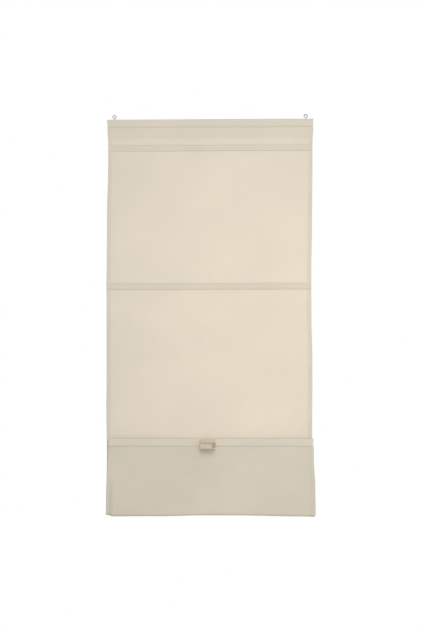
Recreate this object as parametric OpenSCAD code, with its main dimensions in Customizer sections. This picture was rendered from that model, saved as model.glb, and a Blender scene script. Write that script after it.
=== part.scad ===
// Hand-raised roman blind with its lowest fold lifted: the bottom bar is held in front of the lower
// batten, and the cloth between the two hangs as a loop. The front of the blind faces -Y.
// The origin lies midway between the centres of the two hanging eyes.

/* [Cloth] */
// Finished width of the cloth
blind_w = 600; // [450:5:900]
// Thickness of one layer of cloth
cloth_t = 0.8; // [0.6:0.1:1]
// Width of the hem turned to the back along each side
side_hem_w = 12; // [8:1:20]
// Cloth left beyond a line of stitches
seam_tail = 2.5; // [1.5:0.5:4]

/* [Heights] */
// Eye centres down to the top edge of the cloth
eye_rise = 7.9; // [7:0.1:14]
// Top edge down to the middle of the upper batten
upper_drop = 84.5; // [50:0.5:200]
// Top edge down to the middle of the middle batten
middle_drop = 490.8; // [350:0.2:600]
// Top edge down to the middle of the lower batten, where the bar is held
lower_drop = 948.3; // [800:0.1:1100]
// Middle of the lower batten down to the bottom of the fold
fold_h = 216; // [150:1:280]

/* [Fold] */
// Radius of the cloth where it turns under at the bottom of the fold
fold_r = 9; // [6:0.5:14]
// Sideways shift of the lifted flap, to the right as seen from the front
flap_shift = 6; // [-10:1:10]

/* [Head batten] */
// Height of the wooden head batten
head_h = 20; // [16:1:30]
// Depth of the head batten
head_d = 9; // [8:0.5:14]
// Edge rounding of the head batten
head_round = 2.5; // [1.5:0.5:3]
// Rounding of the corners at the ends of the head batten
head_end_round = 1; // [0.5:0.5:5]
// Distance from each end of the head batten to the edge of the cloth
head_end_gap = 1; // [0:0.5:6]

/* [Screw eyes] */
// Edge of the cloth to the centre of each eye
eye_inset = 19.5; // [12:0.5:80]
// Radius of the ring along the middle of its wire
eye_ring_r = 4.6; // [4.2:0.1:6]
// Diameter of the wire
eye_wire_d = 2.6; // [2.4:0.1:3]
// Radius of the worn land inside the ring
eye_hole_r = 3.5; // [3.2:0.05:4.8]
// Length of the shank inside the head batten
eye_screw_len = 14; // [8:0.5:15]
// Length of the pointed end of the shank
eye_tip_len = 3; // [2:0.5:4]
// Gap between the cut end of the wire and the shank
eye_end_gap = 0.6; // [0.3:0.1:1.2]

/* [Battens] */
// Height of a batten
batten_h = 13; // [11:0.5:18]
// Thickness of a batten
batten_d = 4; // [3.5:0.5:6]
// Edge rounding of a batten
batten_round = 1.5; // [1:0.1:1.7]
// Rounding of the corners at the ends of a batten
batten_end_round = 4; // [1:0.5:5]
// Distance from each end of a batten to the edge of the cloth
batten_end_gap = 6; // [1.5:0.5:10]
// Distance from the edge of a batten to the line of stitches beside it
stitch_room = 2.2; // [2:0.1:4]
// How far a batten pushes the cloth forward
front_bulge = 1.2; // [0.6:0.1:1.6]

/* [Bottom bar] */
// Height of the bottom bar
bar_h = 20; // [14:1:30]
// Thickness of the bottom bar
bar_d = 5; // [4:0.5:8]
// Edge rounding of the bottom bar
bar_round = 1.9; // [1:0.1:1.9]
// Rounding of the corners at the ends of the bar
bar_end_round = 6; // [1:0.5:6.5]
// Distance from each end of the bar to the edge of the cloth
bar_end_gap = 8; // [6:0.5:12]
// Distance from the edge of the head batten or the bar to the seam that closes its pocket
seam_room = 3.4; // [3:0.1:5]

/* [Magnets] */
// Diameter of a disc magnet
magnet_d = 10; // [6:0.5:10.5]
// Thickness of a disc magnet
magnet_t = 2.5; // [1.5:0.1:3]
// Edge of the cloth to the middle of each magnet
magnet_inset = 120; // [40:5:180]

/* [Pull tab] */
// Width of the strap
tab_w = 44.5; // [25:0.5:60]
// Thickness of the strap
tab_t = 1.4; // [1:0.1:2]
// Sideways place of the strap, from the middle of the blind
tab_x = -8.2; // [-60:0.2:60]
// Height of the strap ends that are sewn to the pocket of the bar
tab_sewn_h = 15; // [10:0.5:16]
// Inner radius of the bend at the top of the loop
tab_bend_r = 1.3; // [1:0.1:3]
// Top of the bar pocket down to the centre of that bend
tab_bend_drop = 4; // [3.5:0.1:6]
// Radius of the round belly of the loop
tab_belly_r = 7; // [5:0.5:10]
// Air between the two layers of the strap where they lie together
tab_layer_gap = 0.1; // [0.05:0.05:0.5]
// Top of the bar pocket down to the bottom of the loop
tab_drop = 30.5; // [28:0.5:50]
// How far the loop stands out from the pocket of the bar
tab_reach = 21; // [20:0.5:30]

/* [Fits] */
// Clearance of the battens, the bar and the tapes in the cloth
fit_gap = 0.3; // [0.2:0.05:0.4]
// Radial clearance of the eye shanks
shank_gap = 0.05; // [0.02:0.01:0.1]
// Radial clearance of the magnets
magnet_gap = 0.1; // [0.05:0.05:0.2]

/* [Hidden] */
$fn = 48;
cloth_colour = "#DDD3BE";
tape_colour = "#E4DBC9";
wood_colour = "#CDAE80";
metal_colour = "#B9B9B5";
bar_colour = "#C4C6C8";
magnet_colour = "#8E9094";
strap_colour = "#C8B79F";

// Steps of the curves in a cloth section
bend_steps = 6;
fold_steps = 12;

// Layers of the one cloth lie this much into each other, so that they make one solid
layer_lap = 0.04;
layer_y = cloth_t - layer_lap;

// Heights of the seams and of what they hold
top_z = -eye_rise;
head_pocket_h = cloth_t + fit_gap + head_h + seam_room;
head_z = top_z - cloth_t - fit_gap - head_h / 2;
head_seam_z = top_z - head_pocket_h;
upper_z = top_z - upper_drop;
middle_z = top_z - middle_drop;
lower_z = top_z - lower_drop;
pocket_h = batten_h + 2 * stitch_room;
bar_pocket_h = cloth_t + fit_gap + bar_h + seam_room;
bar_top_z = lower_z + bar_pocket_h / 2;
bar_z = bar_top_z - cloth_t - fit_gap - bar_h / 2;
bar_seam_z = bar_top_z - bar_pocket_h;
fold_z = lower_z - fold_h;

// Depths, from the wall side to the front
batten_front_y = cloth_t / 2 + fit_gap - front_bulge;
tape_y = batten_front_y + batten_d + fit_gap + cloth_t / 2;
bar_back_y = -front_bulge - cloth_t - fit_gap;
bar_y = bar_back_y - cloth_t / 2 - fit_gap - bar_d / 2;
bar_face_y = 2 * bar_y - bar_back_y - cloth_t / 2;

// Lengths and places across the blind
eye_spacing = blind_w - 2 * eye_inset;
magnet_spacing = blind_w - 2 * magnet_inset;
head_len = blind_w - 2 * head_end_gap;
batten_len = blind_w - 2 * batten_end_gap;
bar_len = blind_w - 2 * bar_end_gap;
tape_len = blind_w - 2 * (side_hem_w + fit_gap);
shank_r = eye_wire_d / 2;

// The fold: a round turn, and the flap that leaves it on a tangent for the seam of the bar
fold_centre = [-fold_r, fold_z + cloth_t / 2 + fold_r];
flap_top = [bar_back_y, bar_seam_z];
flap_rise = flap_top - fold_centre;
flap_angle = atan2(flap_rise[1], flap_rise[0]) + acos(fold_r / norm(flap_rise));
flap_out = [cos(flap_angle), sin(flap_angle)];
flap_down = [-flap_out[1], flap_out[0]];

// Sections are drawn in the plane of depth and height, as points [y, z]

function unit(v) = v / norm(v);
function left_of(v) = [-v[1], v[0]];
function ease(u) = (1 - cos(180 * u)) / 2;
function reversed(list) = [for (i = [len(list) - 1:-1:0]) list[i]];
function without_first(list) = [for (i = [1:len(list) - 1]) list[i]];

// Sideways step at point i that keeps a strip of even thickness round a bend
function side_step(path, i) =
    let (
        last = len(path) - 1,
        before = left_of(unit(path[max(i, 1)] - path[max(i, 1) - 1])),
        after = left_of(unit(path[min(i, last - 1) + 1] - path[min(i, last - 1)])),
        middle = unit(before + after)
    )
    middle / (middle * before);

// Outline of a strip of cloth or strap that follows a path
function strip(path, thickness) = concat(
    [for (i = [0:len(path) - 1]) path[i] + side_step(path, i) * thickness / 2],
    [for (i = [len(path) - 1:-1:0]) path[i] - side_step(path, i) * thickness / 2]
);

function arc(centre, r, from, to, steps) =
    [for (i = [0:steps])
        let (angle = from + (to - from) * i / steps)
        centre + r * [cos(angle), sin(angle)]];

// A soft step from one point to another, without its first point
function soft_step(from, to) =
    [for (i = [1:bend_steps]) [
        from[0] + (to[0] - from[0]) * ease(i / bend_steps),
        from[1] + (to[1] - from[1]) * i / bend_steps
    ]];

// Middle of the bend of the cloth round one edge of a lath: side 1 is its back, level 1 its top
function lath_edge(mid_y, mid_z, depth, height, round_r, side, level) =
    [mid_y + side * (depth / 2 - round_r), mid_z + level * (height / 2 - round_r)];

// Cloth over one upper edge of a lath, from the middle of its top
function over_edge(mid_y, edge, bend, side) = concat(
    [[mid_y, edge[1] + bend]],
    arc(edge, bend, 90, side > 0 ? 0 : 180, bend_steps)
);

// Cloth drawn tight round one lower edge of a lath to a seam below it
function under_edge(edge, bend, side, seam) =
    let (
        away = seam - edge,
        leave = atan2(away[1], away[0]) + side * acos(bend / norm(away))
    )
    concat(arc(edge, bend, side > 0 ? 0 : -180, leave, bend_steps), [seam]);

// A layer of cloth over a batten, standing off by rise between its two lines of stitches
function over_batten(mid_z, flat_y, rise_y) =
    let (
        stitch = [flat_y, mid_z + pocket_h / 2],
        edge = [rise_y, mid_z + batten_h / 2],
        upper = concat([stitch], soft_step(stitch, edge))
    )
    concat(upper, [for (p = reversed(upper)) [p[0], 2 * mid_z - p[1]]]);

function front_of_batten(mid_z) = over_batten(mid_z, 0, -front_bulge);
function back_of_batten(mid_z, flat_y) = over_batten(mid_z, flat_y, tape_y);

// Bends of the cloth round the head batten and the bar
head_bend = head_round + fit_gap + cloth_t / 2;
bar_bend = bar_round + fit_gap + cloth_t / 2;
function head_edge(side, level) = lath_edge(0, head_z, head_d, head_h, head_round, side, level);
function bar_edge(side, level) = lath_edge(bar_y, bar_z, bar_d, bar_h, bar_round, side, level);
bar_seam_front = flap_top + layer_y * flap_out;

// From the top of the head batten down the front of the blind to the bottom of the fold
hanging_path = concat(
    over_edge(0, head_edge(-1, 1), head_bend, -1),
    under_edge(head_edge(-1, -1), head_bend, -1, [0, head_seam_z]),
    front_of_batten(upper_z),
    front_of_batten(middle_z),
    front_of_batten(lower_z),
    arc(fold_centre, fold_r, 360, 270, fold_steps)
);

// Down the back of the head batten to the seam
head_back_path = concat(
    over_edge(0, head_edge(1, 1), head_bend, 1),
    under_edge(head_edge(1, -1), head_bend, 1, [layer_y, head_seam_z]),
    [[layer_y, head_seam_z - seam_tail]]
);

// From the bottom of the fold up the flap and behind the bar to its top
flap_path = concat(
    arc(fold_centre, fold_r, 270, flap_angle, fold_steps),
    [flap_top],
    reversed(over_edge(bar_y, bar_edge(1, 1), bar_bend, 1))
);

// From the top of the bar down its front to the seam
bar_front_path = concat(
    over_edge(bar_y, bar_edge(-1, 1), bar_bend, -1),
    under_edge(bar_edge(-1, -1), bar_bend, -1, bar_seam_front),
    [bar_seam_front + seam_tail * flap_down]
);

// The turned hems lie on the reverse of the cloth, so they face forward on the flap
hem_path = concat(
    [[layer_y, head_seam_z - seam_tail / 2]],
    back_of_batten(upper_z, layer_y),
    back_of_batten(middle_z, layer_y),
    back_of_batten(lower_z, layer_y),
    arc(fold_centre, fold_r + layer_y, 360, 270, fold_steps)
);
flap_hem_path = concat(
    arc(fold_centre, fold_r + layer_y, 270, flap_angle, fold_steps),
    [bar_seam_front + seam_tail / 2 * flap_down]
);

// The strap: up from its sewn end, over the bend, round the belly and back to the other end
tab_back_y = bar_face_y - tab_t / 2;
tab_front_y = tab_back_y - tab_t - tab_layer_gap;
tab_low_z = bar_z - tab_sewn_h / 2;
tab_inner_r = tab_bend_r + tab_t / 2;
tab_outer_r = tab_inner_r + tab_t + tab_layer_gap;
tab_bend = [tab_back_y - tab_outer_r, bar_top_z - tab_bend_drop];
tab_belly = [
    bar_face_y - tab_reach + tab_t / 2 + tab_belly_r,
    bar_top_z - tab_drop + tab_t / 2 + tab_belly_r
];
tab_outer_start = tab_bend - [tab_outer_r, 0];
tab_inner_start = tab_bend - [tab_inner_r, 0];
tab_path = concat(
    [[tab_back_y, tab_low_z]],
    arc(tab_bend, tab_outer_r, 0, 180, 2 * bend_steps),
    soft_step(tab_outer_start, tab_belly - [tab_belly_r, 0]),
    without_first(arc(tab_belly, tab_belly_r, 180, 360, 2 * bend_steps)),
    without_first(reversed(soft_step(tab_inner_start, tab_belly + [tab_belly_r, 0]))),
    arc(tab_bend, tab_inner_r, 180, 0, 2 * bend_steps),
    [[tab_front_y, tab_low_z]]
);

// Draws a section [y, z] along the width of the blind, about its middle
module along_width(length) {
    rotate([90, 0, 90])
        linear_extrude(length, center = true)
            children();
}

module rounded_rectangle(width, height, round_r) {
    square([width - 2 * round_r, height], center = true);
    square([width, height - 2 * round_r], center = true);
    for (across = [-1, 1], up = [-1, 1])
        translate([across * (width / 2 - round_r), up * (height / 2 - round_r)])
            circle(round_r);
}

// A lath with rounded edges, and rounded corners at its ends
module lath(length, depth, height, round_r, end_round, mid_y, mid_z) {
    translate([0, mid_y, mid_z])
        intersection() {
            along_width(length)
                rounded_rectangle(depth, height, round_r);
            rotate([90, 0, 0])
                linear_extrude(2 * depth, center = true)
                    rounded_rectangle(length, height, end_round);
        }
}

// Two disc magnets whose backs lie on the plane y = floor_y, facing the front (-1) or the wall (1)
module magnet_pair(floor_y, mid_z, facing, extra_r, extra_t) {
    for (side = [-1, 1])
        translate([side * magnet_spacing / 2, floor_y, mid_z])
            rotate([facing * -90, 0, 0])
                cylinder(h = magnet_t + extra_t, r = magnet_d / 2 + extra_r);
}

// The cloth, folded and hemmed from one length

// Side hem: the turned layer, and the walls that close the batten pockets at the edge
module side_hem(side) {
    translate([side * (blind_w - side_hem_w) / 2, 0, 0])
        along_width(side_hem_w)
            polygon(strip(hem_path, cloth_t));
    for (mid_z = [upper_z, middle_z, lower_z])
        translate([side * (blind_w - cloth_t) / 2, 0, 0])
            along_width(cloth_t)
                polygon(concat(
                    front_of_batten(mid_z),
                    reversed(back_of_batten(mid_z, layer_y))
                ));
    translate([flap_shift + side * (blind_w - side_hem_w) / 2, 0, 0])
        along_width(side_hem_w)
            polygon(strip(flap_hem_path, cloth_t));
}

module blind_cloth() {
    color(cloth_colour)
        difference() {
            union() {
                for (path = [hanging_path, head_back_path])
                    along_width(blind_w)
                        polygon(strip(path, cloth_t));
                for (path = [flap_path, bar_front_path])
                    translate([flap_shift, 0, 0])
                        along_width(blind_w)
                            polygon(strip(path, cloth_t));
                for (side = [-1, 1])
                    side_hem(side);
            }
            for (side = [-1, 1])
                translate([side * eye_spacing / 2, 0, top_z - 2 * cloth_t])
                    cylinder(h = 3 * cloth_t, r = shank_r + shank_gap);
        }
}

// Strip of cloth sewn behind a batten, between the side hems
module pocket_tape(mid_z) {
    over = back_of_batten(mid_z, cloth_t);
    color(tape_colour)
        along_width(tape_len)
            polygon(strip(concat(
                [over[0] + [0, seam_tail]],
                over,
                [over[len(over) - 1] - [0, seam_tail]]
            ), cloth_t));
}

module head_batten() {
    color(wood_colour)
        difference() {
            lath(head_len, head_d, head_h, head_round, head_end_round, 0, head_z);
            for (side = [-1, 1])
                translate([side * eye_spacing / 2, 0, head_z + head_h / 2 - eye_screw_len])
                    cylinder(h = eye_screw_len + 1, r = shank_r + shank_gap);
        }
}

module screw_eye() {
    shank_top_z = -sqrt(pow(eye_ring_r, 2) - pow(shank_r, 2));
    tip_z = head_z + head_h / 2 - eye_screw_len;
    difference() {
        union() {
            rotate([90, 0, 0])
                rotate_extrude()
                    translate([eye_ring_r, 0])
                        circle(d = eye_wire_d);
            translate([0, 0, tip_z + eye_tip_len])
                cylinder(h = shank_top_z - tip_z - eye_tip_len, d = eye_wire_d);
            translate([0, 0, tip_z])
                cylinder(h = eye_tip_len, r1 = shank_r / 4, r2 = shank_r);
        }
        rotate([90, 0, 0])
            cylinder(h = 2 * eye_wire_d, r = eye_hole_r, center = true);
        translate([shank_r, -eye_wire_d, -eye_ring_r - eye_wire_d])
            cube([eye_end_gap, 2 * eye_wire_d, 2 * eye_wire_d]);
    }
}

module screw_eyes() {
    color(metal_colour)
        for (side = [-1, 1])
            translate([side * eye_spacing / 2, 0, 0])
                screw_eye();
}

module batten(mid_z) {
    color(wood_colour)
        difference() {
            lath(batten_len, batten_d, batten_h, batten_round, batten_end_round,
                batten_front_y + batten_d / 2, mid_z);
            magnet_pair(batten_front_y + magnet_t, mid_z, -1, magnet_gap, 1);
        }
}

module batten_magnets(mid_z) {
    color(magnet_colour)
        magnet_pair(batten_front_y + magnet_t, mid_z, -1, 0, 0);
}

module bottom_bar() {
    color(bar_colour)
        difference() {
            lath(bar_len, bar_d, bar_h, bar_round, bar_end_round, bar_y, bar_z);
            magnet_pair(bar_y + bar_d / 2 - magnet_t, lower_z, 1, magnet_gap, 1);
        }
}

module bar_magnets() {
    color(magnet_colour)
        magnet_pair(bar_y + bar_d / 2 - magnet_t, lower_z, 1, 0, 0);
}

// Loop of strap sewn to the hem of the bar, fallen forward over its top
module pull_tab() {
    color(strap_colour)
        translate([tab_x, 0, 0])
            along_width(tab_w)
                polygon(strip(tab_path, tab_t));
}

blind_cloth();
head_batten();
screw_eyes();
pocket_tape(upper_z);  // upper_pocket_tape
pocket_tape(middle_z);  // middle_pocket_tape
pocket_tape(lower_z);  // lower_pocket_tape
batten(upper_z);  // upper_batten
batten(middle_z);  // middle_batten
batten(lower_z);  // lower_batten
bottom_bar();
batten_magnets(upper_z);  // upper_magnets
batten_magnets(middle_z);  // middle_magnets
batten_magnets(lower_z);  // lower_magnets
bar_magnets();
pull_tab();
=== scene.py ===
"""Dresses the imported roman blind: its cloth, what is sewn to it, the eyes, the finishes and the studio."""

import math

import bpy
import numpy as np
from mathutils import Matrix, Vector


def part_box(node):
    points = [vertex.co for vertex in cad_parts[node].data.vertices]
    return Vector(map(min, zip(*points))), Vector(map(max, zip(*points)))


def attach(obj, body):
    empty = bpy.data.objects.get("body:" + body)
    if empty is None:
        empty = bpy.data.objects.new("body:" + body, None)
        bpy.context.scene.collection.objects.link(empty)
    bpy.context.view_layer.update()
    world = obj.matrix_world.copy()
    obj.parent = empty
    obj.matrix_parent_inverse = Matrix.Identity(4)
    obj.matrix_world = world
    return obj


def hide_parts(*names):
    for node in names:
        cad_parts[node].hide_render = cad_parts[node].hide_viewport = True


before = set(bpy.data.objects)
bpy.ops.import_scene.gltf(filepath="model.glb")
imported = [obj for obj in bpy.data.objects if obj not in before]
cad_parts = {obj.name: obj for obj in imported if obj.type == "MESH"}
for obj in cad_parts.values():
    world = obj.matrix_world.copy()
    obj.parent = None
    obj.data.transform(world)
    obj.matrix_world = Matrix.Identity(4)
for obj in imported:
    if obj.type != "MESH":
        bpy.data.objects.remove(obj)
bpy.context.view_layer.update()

bl_info = {
    "name": "Roman Blind",
    "version": (1, 0, 0),
    "blender": (4, 5, 0),
    "location": "3D View > Sidebar > Blind",
    "description": "Builds the cloth, the sewn details and the finishes of a hand-raised roman blind",
    "category": "Object",
}

MM = 0.001
BODY = "root"
LEVELS = ("upper", "middle", "lower")

# Sideways play of the cloth as it hangs, as (height, offset) in millimetres, + to the right
HANGING_LEFT = (
    (0, -2.6), (-34, -1.4), (-62, 1.4), (-128, 1.4), (-199, 0.1), (-252, -2.1), (-445, -3.6),
    (-489, -5.2), (-520, -4.5), (-660, -4.8), (-815, -5.2), (-850, -6.4), (-921, -5.2), (-1009, -4.2),
    (-1079, -6.0), (-1158, -8.2),
)
HANGING_RIGHT = (
    (0, 3.4), (-34, 2.8), (-62, 0.0), (-146, -0.2), (-304, -1.8), (-369, -2.6), (-428, -4.2),
    (-516, -4.4), (-621, -3.8), (-692, -1.7), (-780, -1.8), (-880, -2.7), (-940, -3.0), (-1158, -4.0),
)
FLAP_LEFT = ((-945, 0.4), (-1000, -1.6), (-1080, -3.6), (-1160, -6.6))
FLAP_RIGHT = (
    (-945, 1.6), (-1010, 1.6), (-1038, 2.6), (-1053, 4.4), (-1070, 4.9), (-1100, 5.7), (-1150, 5.9),
    (-1170, 6.6),
)

# Packing creases across the cloth, as (height, from, to) in millimetres
CREASES = ((-724, -54, 269), (-306, -292, -221), (-304, 160, 282))


# Kinds of settings


def length_of(name, description, default):
    """A length, with its default in millimetres."""
    return bpy.props.FloatProperty(
        name=name, description=description, default=default * MM, unit="LENGTH")


def share_of(name, description, default):
    """A share from 0 to 1."""
    return bpy.props.FloatProperty(
        name=name, description=description, default=default, subtype="FACTOR", min=0, max=1)


def angle_of(name, description, default):
    """An angle, with its default in degrees."""
    return bpy.props.FloatProperty(
        name=name, description=description, default=math.radians(default), subtype="ANGLE")


def power_of(name, description, default):
    """The power of a lamp, in watts."""
    return bpy.props.FloatProperty(
        name=name, description=description, default=default, unit="POWER")


def colour_of(name, description, default):
    """A colour."""
    return bpy.props.FloatVectorProperty(
        name=name, description=description, default=default, subtype="COLOR", size=3, min=0, max=1)


def group_of(kind, name, description):
    """A group of settings."""
    return bpy.props.PointerProperty(type=kind, name=name, description=description)


class ClothSettings(bpy.types.PropertyGroup):
    """Sizes and colour of the cloth."""

    width: length_of("Width", "Finished width from side edge to side edge", 600)
    thickness: length_of("Thickness", "Thickness of one layer of cloth", 0.8)
    layer_gap: length_of("Layer gap", "Air between two layers that lie on each other", 0.1)
    fit_gap: length_of("Fit gap", "Air between the cloth and a lath in its pocket", 0.3)
    hem_width: length_of("Hem width", "Width of the hem turned along each side", 12)
    seam_room: length_of(
        "Seam room", "Edge of the head batten or the bar to the seam of its pocket", 3.4)
    stitch_room: length_of("Stitch room", "Edge of a batten to the line of stitches beside it", 2.2)
    head_turn: length_of(
        "Head turn", "Length of the turned head that hangs behind, below the head seam", 34)
    seam_tail: length_of("Seam tail", "Cloth left beyond a line of stitches", 2.5)
    head_seam_y: length_of("Head seam depth", "Depth of the seam under the head", -2.8)
    bar_seam_y: length_of("Bar seam depth", "Depth of the seam under the bar", -4.6)
    front_bulge: length_of("Front bulge", "How far a batten pushes the cloth forward", 1.2)
    head_round: length_of("Head rounding", "Edge rounding of the head batten", 2.5)
    bar_round: length_of("Bar rounding", "Edge rounding of the bottom bar", 1.9)
    fold_drop: length_of("Fold drop", "Middle of the lower batten down to the bottom of the fold", 216)
    fold_radius: length_of("Fold radius", "Radius of the turn at the bottom of the fold", 9)
    column_step: length_of("Column step", "Distance between the mesh lines that run down the cloth", 5.6)
    row_step: length_of("Row step", "Longest distance between the mesh lines that run across", 12)
    wave_height: length_of("Wave height", "Height of the low waves where the cloth hangs free", 1.1)
    pucker_height: length_of("Pucker height", "Height of the puckers beside a seam", 0.22)
    groove_depth: length_of("Groove depth", "How far a line of stitches draws the cloth in", 0.3)
    crease_height: length_of("Crease height", "Height of the packing creases", 0.3)
    pocket_sag: length_of(
        "Pocket sag", "How far the cloth falls back below the pocket of a batten", 0.27)
    flap_belly: length_of("Flap belly", "How far the lifted flap curves forward halfway down", 3)
    colour: colour_of("Colour", "Colour of the cotton yarn", (0.86, 0.818, 0.684))
    # Painted shade: the reverse of the cloth is made darker than its face. It shows on the lifted flap, so
    # the flap is painted darker where it gets less light.
    reverse_painted_shade: share_of(
        "Reverse painted shade", "Brightness of the reverse of the cloth beside its face", 0.945)
    light_through: share_of(
        "Light through", "Share of the light that a face of the cloth lets through", 0.35)
    thread_pitch: length_of("Thread pitch", "Distance between two threads of the weave", 0.6)


class TapeSettings(bpy.types.PropertyGroup):
    """Colour and weave of the strips that hold the battens."""

    colour: colour_of("Colour", "Colour of the tape", (0.82, 0.755, 0.64))
    thread_pitch: length_of("Thread pitch", "Distance between two threads of the weave", 0.5)
    end_gap: length_of("End gap", "Air between the end of a tape and the side hem", 0.3)


class StitchSettings(bpy.types.PropertyGroup):
    """Sizes and colour of the stitches."""

    pitch: length_of("Pitch", "Length of one stitch with its gap", 3.4)
    length: length_of("Length", "Length of the thread that shows in one stitch", 2.7)
    radius: length_of("Radius", "Radius of the thread", 0.24)
    colour: colour_of("Colour", "Colour of the thread", (0.72, 0.64, 0.51))


class StrapSettings(bpy.types.PropertyGroup):
    """Sizes and colour of the pull strap."""

    thickness: length_of("Thickness", "Thickness of the strap", 1.4)
    roll_radius: length_of("Roll radius", "Radius of the roll at the lower end of the loop", 2.6)
    bend_radius: length_of("Bend radius", "Inner radius of the bend at the top of the loop", 1.6)
    bend_drop: length_of("Bend drop", "Top of the bar pocket down to the centre of the bend", 7.0)
    sewn_height: length_of("Sewn height", "Height of the strap ends sewn to the pocket of the bar", 15)
    crease_drop: length_of("Crease drop", "Top of the bar pocket down to the crease", 14.4)
    # Painted shade: the inside of the loop is darker than its outside, standing for the shadow in the open
    # end of the loop.
    inside_painted_shade: share_of(
        "Inside painted shade", "Brightness of the inside of the loop beside its outside", 0.75)
    colour: colour_of("Colour", "Colour of the strap", (0.585, 0.504, 0.384))
    rib_pitch: length_of("Rib pitch", "Distance between two ribs of the twill", 0.9)


class EyeSettings(bpy.types.PropertyGroup):
    """Sizes and colour of the screw eyes."""

    ring_radius: length_of("Ring radius", "Radius of the ring along the middle of its wire", 4.6)
    wire_radius: length_of("Wire radius", "Radius of the wire", 1.3)
    colour: colour_of("Colour", "Colour of the zinc", (0.21, 0.21, 0.207))


class FinishSettings(bpy.types.PropertyGroup):
    """Colours of the wood and metal inside the pockets."""

    pine_light: colour_of("Pine, light", "Early wood of the battens", (0.84, 0.70, 0.50))
    pine_dark: colour_of("Pine, dark", "Late wood of the battens", (0.66, 0.48, 0.30))
    aluminium: colour_of("Aluminium", "Mill finish of the bottom bar", (0.72, 0.73, 0.74))
    nickel: colour_of("Nickel", "Plating of the magnets", (0.56, 0.55, 0.53))


class StudioSettings(bpy.types.PropertyGroup):
    """Camera, lamps and floor."""

    lens: bpy.props.FloatProperty(
        name="Lens", description="Focal length of the camera", default=85, unit="CAMERA")
    distance: length_of("Distance", "Camera to the middle of the picture", 4371)
    aim_z: length_of("Aim height", "Height of the middle of the picture", -583.5)
    turn: angle_of("Turn", "How far the camera stands to the right", 1.5)
    roll: angle_of("Roll", "How far the camera leans to its right", 0.13)
    floor_z: length_of("Floor height", "Height of the floor", -1750)
    key_power: power_of("Key power", "Soft lamp above, in front and to the right", 86)
    fill_power: power_of("Fill power", "Wide soft lamp in front", 15.5)
    back_power: power_of("Back power", "Soft lamp behind the cloth", 1.9)
    low_power: power_of("Low power", "Soft lamp under the fold", 0.6)
    room_level: share_of("Room level", "Brightness of the room round the object", 0.36)
    floor_colour: colour_of("Floor colour", "Colour of the floor", (0.9, 0.9, 0.89))


class BlindSettings(bpy.types.PropertyGroup):
    """All the settings of the blind."""

    cloth: group_of(ClothSettings, "Cloth", "Sizes and colour of the cloth")
    tape: group_of(TapeSettings, "Tapes", "Colour and weave of the pocket tapes")
    stitch: group_of(StitchSettings, "Stitches", "Sizes and colour of the stitches")
    strap: group_of(StrapSettings, "Pull strap", "Sizes and colour of the pull strap")
    eye: group_of(EyeSettings, "Screw eyes", "Sizes and colour of the screw eyes")
    finish: group_of(FinishSettings, "Wood and metal", "Colours of the wood and metal")
    studio: group_of(StudioSettings, "Studio", "Camera, lamps and floor")


# Sections of the cloth, as points (depth, height)

# A turn below this stays as it is, and a rounded corner takes at most this share of its two sides
STRAIGHT = math.radians(14)
CORNER_SHARE = 0.45
CORNER_STEPS = (0, 0.33, 0.67, 1)
CORNER_CUT = 1.1 * MM

# Points of a section closer than this are one, and the fold is turned in these steps
SAME_POINT = 1e-6
FOLD_STEPS = 18

# The turned head hangs from this far below the head seam, this many layers behind the front
TURN_START = 4 * MM
TURN_LAYERS = 2.2

# Rows of the mesh beside a seam and a crease, in millimetres, and the least distance between two rows
SEAM_ROWS = (0.8, 1.8, 3.5, 6.5)
CREASE_ROWS = (-9, -5, -2.5, 0, 2.5, 5, 9)
ROW_GAP = 0.35 * MM

# The cloth hangs free this far from what holds it
FREE_LENGTH = 90 * MM

# Low waves as (strength, width, start), and puckers as (strength, width, wander, wander rate, drift)
WAVES = ((0.55, 0.41, 0.12), (0.45, 0.23, -0.31), (0.35, 0.9, 0))
PUCKERS = ((1, 0.037, 3, 31, 40), (0.7, 0.061, 2, 17, -23))

# Reach of the puckers, the grooves, the creases and the sag below a pocket
PUCKER_REACH = 7 * MM
PUCKER_START = 3 * MM
GROOVE_REACH = 0.9 * MM
CREASE_REACH = 3.2 * MM
CREASE_WANDER, CREASE_WANDER_RATE = 1.2 * MM, 23
CREASE_END = 50 * MM
SAG_REACH = 14 * MM

# Bottom edge of the fold, in millimetres: rise of its middle, curve, tilt, and the depth of one dip
EDGE_RISE, EDGE_CURVE, EDGE_TILT, EDGE_DIP = 4.0, 3.9, 0.4, 3.0
# Middle and width of the dip, with -1 and 1 at the side edges
DIP_AT, DIP_WIDTH = -0.4, 0.22
# The edge takes its own course from this far below the lower batten
EDGE_START = 30 * MM

# The left hem is stiff: it pulls the edge up and tucks the flap back near the fold
HEM_PULL = 4.5 * MM
HEM_EDGE = 4 * MM
TUCK_DEPTH = 4 * MM
TUCK_START = 85 * MM
TUCK_LENGTH = 60 * MM

# Half the way over which the sideways play is eased, and the step to measure a direction with
SWAY_EASE = 14 * MM
SLOPE_STEP = 0.4 * MM


def ease(u):
    """Soft start and stop from 0 to 1."""
    return (1 - np.cos(math.pi * np.clip(u, 0, 1))) / 2


def arc(centre, radius, start, end, steps):
    """Points on an arc, with its angles in degrees from the wall side."""
    angles = np.radians(np.linspace(start, end, steps + 1))
    return np.column_stack((centre[0] + radius * np.cos(angles), centre[1] + radius * np.sin(angles)))


def under_edge(edge, bend, side, seam, steps=5):
    """Cloth drawn round the lower edge of a lath to the seam below it."""
    away = np.subtract(seam, edge)
    leave = math.degrees(math.atan2(away[1], away[0]) + side * math.acos(bend / np.hypot(*away)))
    return np.vstack((arc(edge, bend, 0 if side > 0 else -180, leave, steps), [seam]))


def over_edge(mid_y, edge, bend, side, steps=5):
    """Cloth from the middle of a lath's top over its upper edge."""
    return np.vstack(([(mid_y, edge[1] + bend)], arc(edge, bend, 90, 0 if side > 0 else 180, steps)))


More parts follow.
